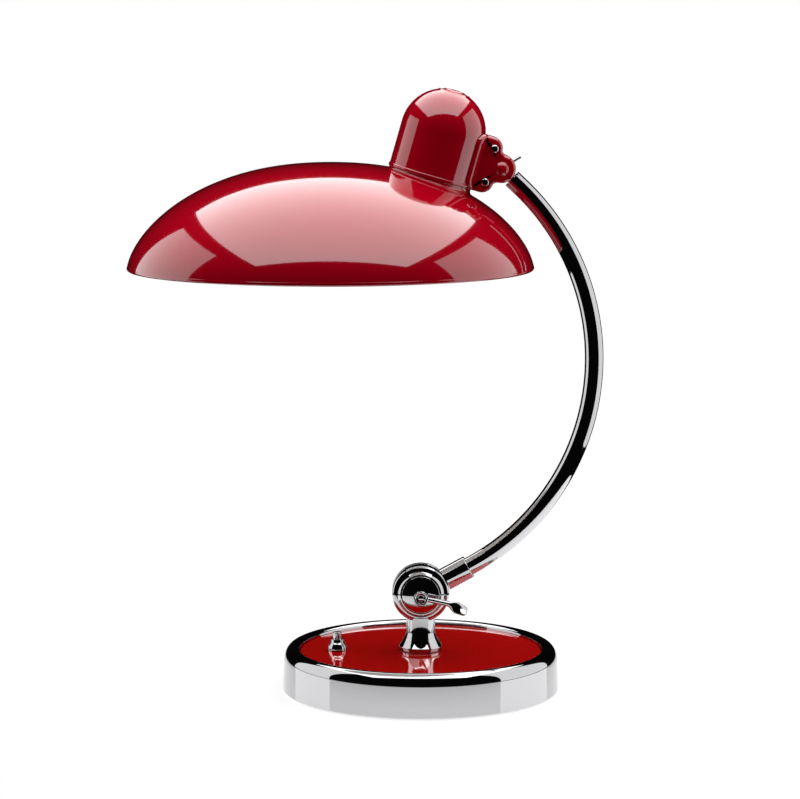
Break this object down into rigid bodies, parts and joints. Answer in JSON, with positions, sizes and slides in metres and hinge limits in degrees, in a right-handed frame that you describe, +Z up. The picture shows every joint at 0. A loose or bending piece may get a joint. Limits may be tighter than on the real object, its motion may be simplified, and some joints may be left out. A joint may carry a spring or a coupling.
{
  "type": "architect desk lamp",
  "caption": "Desk lamp with a weighted round base, a clamped knuckle, a bent tube arm and a wide round shade on a ball joint.",
  "frame": {"origin": "middle of the rubber foot pad's resting face", "axes": "+Z up, +X towards the side that the arm bows out to, +Y to the back, where the lead enters"},
  "size_m": [0.3312, 0.2826, 0.4223],
  "materials": {
    "red_lacquer": "high gloss enamel on spun steel; the shade is white enamel inside",
    "chrome_plate": "polished chromium plate",
    "zinc_plate": "zinc plated steel",
    "cast_iron": "sand cast, unpainted",
    "black_rubber": "moulded, matt",
    "brass": "turned",
    "fibre": "pressed vulcanised fibre",
    "black_plastic": "moulded phenolic and cable sheath",
    "porcelain": "glazed white",
    "bulb_shell": "rolled thread",
    "opal_glass": "opal white, satin"
  },
  "bodies": {
    "base": {"base_rim": "chrome_plate", "base_disc": "red_lacquer", "ballast_plate": "cast_iron", "bottom_plate": "zinc_plate", "foot_pad": "black_rubber", "base_screw_1": "zinc_plate", "base_screw_2": "zinc_plate", "base_screw_3": "zinc_plate", "cord_gland": "black_rubber", "stem": "chrome_plate", "stem_washer": "zinc_plate", "stem_nut": "zinc_plate", "switch_body": "black_plastic", "switch_collar": "chrome_plate", "knuckle_bolt": "chrome_plate", "knuckle_ring": "chrome_plate", "knuckle_dish": "chrome_plate", "friction_washer_front": "fibre", "friction_washer_rear": "fibre"},
    "button": {"switch_button": "chrome_plate"},
    "lever": {"wing_lever": "chrome_plate"},
    "arm": {"arm_knuckle": "chrome_plate", "arm_tube": "chrome_plate", "arm_lead": "black_plastic", "tube_bush": "brass"},
    "ball": {"ball_stud": "chrome_plate"},
    "shade": {"bracket_front": "red_lacquer", "bracket_rear": "red_lacquer", "bracket_screw_upper": "chrome_plate", "bracket_screw_lower": "chrome_plate", "bracket_nut_upper": "chrome_plate", "bracket_nut_lower": "chrome_plate", "tension_screw": "chrome_plate", "flange_screw_front": "zinc_plate", "flange_screw_rear": "zinc_plate", "shade_dome": "red_lacquer", "neck_ring": "zinc_plate", "socket_cap": "red_lacquer", "holder_bridge": "zinc_plate", "holder_nipple": "brass", "holder_nut": "brass", "lamp_holder": "porcelain", "holder_shell": "brass", "bulb_cap": "bulb_shell", "bulb_glass": "opal_glass"}
  },
  "joints": [
    {"name": "arm_tilt", "type": "hinge", "parent": "base", "child": "arm", "pos_m": [0, 0, 0.069], "axis": [0, 1, 0], "range_deg": [-35, 30]},
    {"name": "shade_swivel", "type": "hinge", "parent": "arm", "child": "ball", "pos_m": [0.05548, 0, 0.36721], "axis": [-0.7278, 0, 0.6858], "range_deg": [-90, 90]},
    {"name": "shade_tilt", "type": "hinge", "parent": "ball", "child": "shade", "pos_m": [0.05548, 0, 0.36721], "axis": [0, 1, 0], "range_deg": [-12, 22]},
    {"name": "lever_turn", "type": "hinge", "parent": "base", "child": "lever", "pos_m": [0, 0, 0.069], "axis": [0, 1, 0], "range_deg": [-120, 45]},
    {"name": "button_press", "type": "slide", "parent": "base", "child": "button", "axis": [0, 0, -1], "range_m": [0, 0.003], "stiffness_N_per_m": 300}
  ]
}
